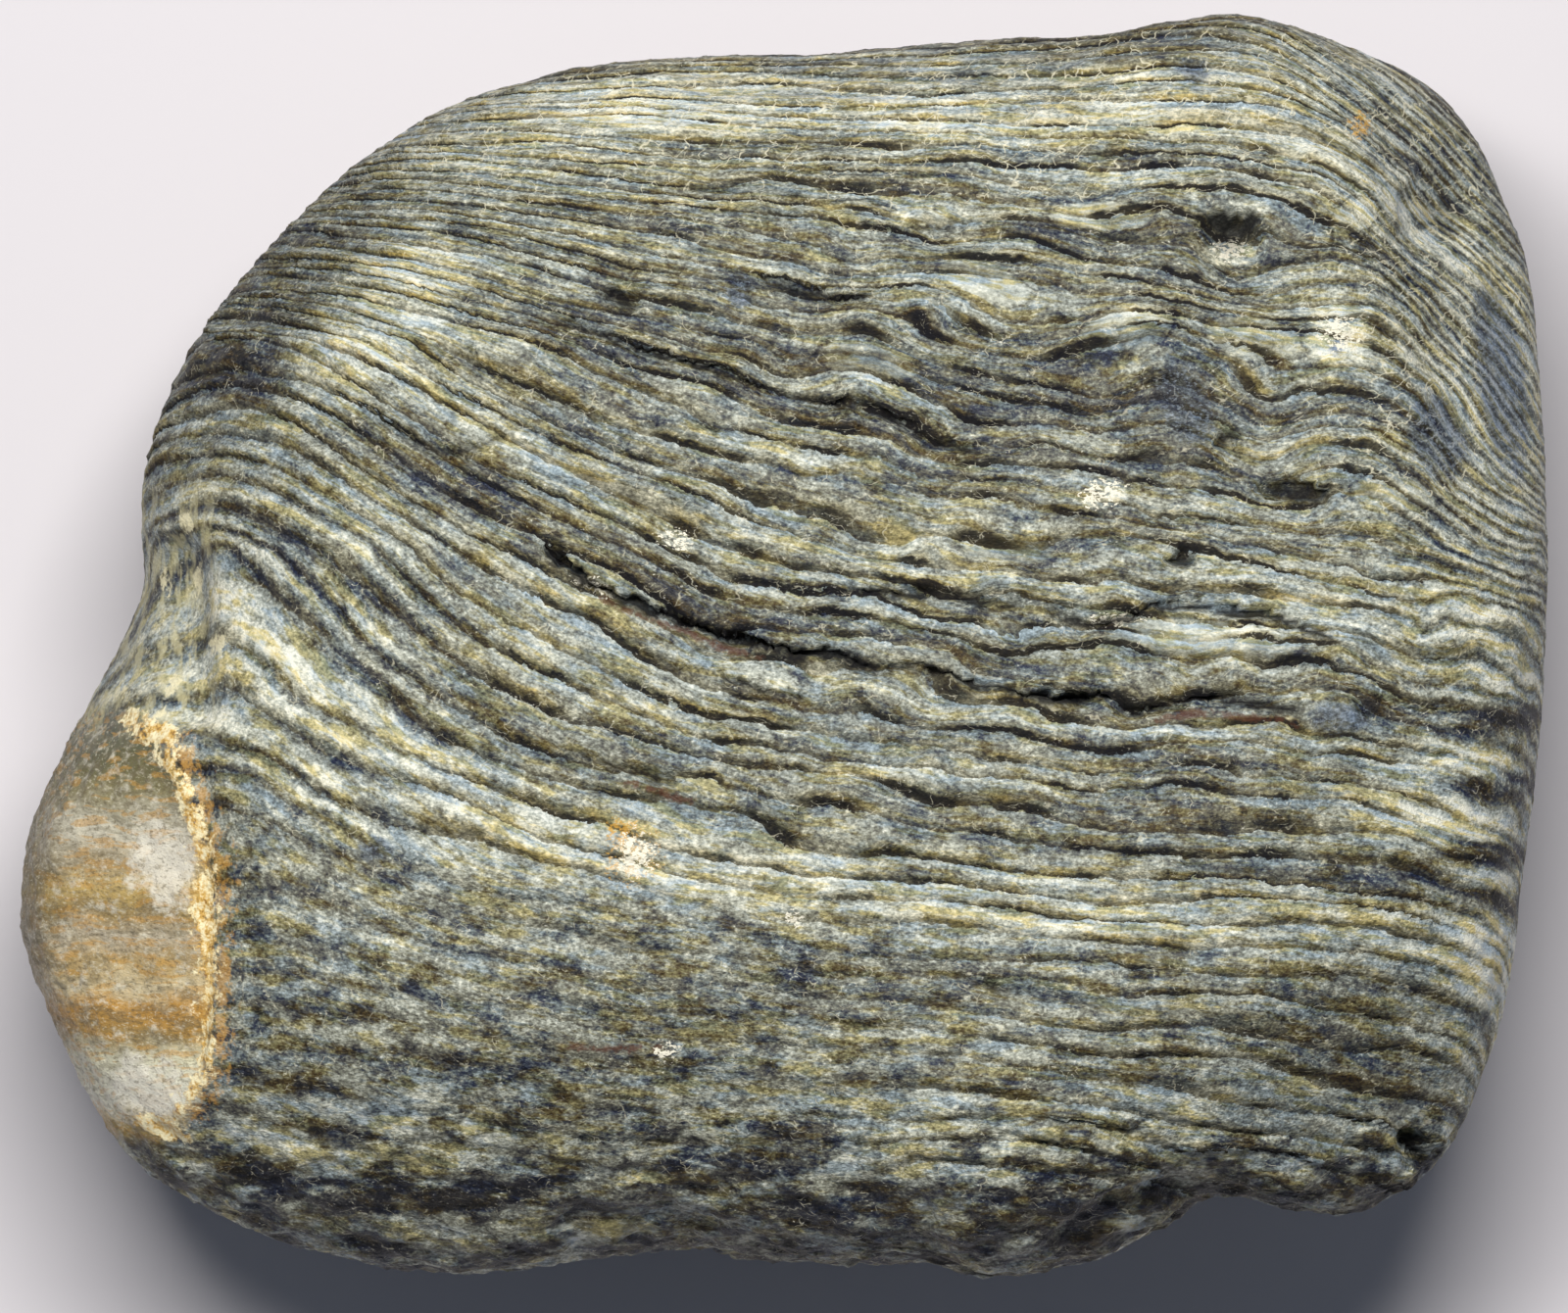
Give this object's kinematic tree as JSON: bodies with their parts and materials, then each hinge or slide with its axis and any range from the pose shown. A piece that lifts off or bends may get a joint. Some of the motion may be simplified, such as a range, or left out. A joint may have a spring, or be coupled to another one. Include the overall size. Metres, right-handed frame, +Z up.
{
  "type": "prairie agate",
  "caption": "Water-worn pebble of banded prairie agate, 66 mm long, with weathered beds, open seams and pits on its broad face.",
  "frame": {"origin": "on the surface it rests on, under the middle of the stone's box", "axes": "+Z up out of the pictured face, +X along the stone's length to its squarer end, +Y towards the straighter long side"},
  "size_m": [0.066, 0.0546, 0.0333],
  "materials": {
    "stone": "satin, weathered chalcedony"
  },
  "bodies": {
    "root": {"stone": "stone"}
  },
  "joints": []
}
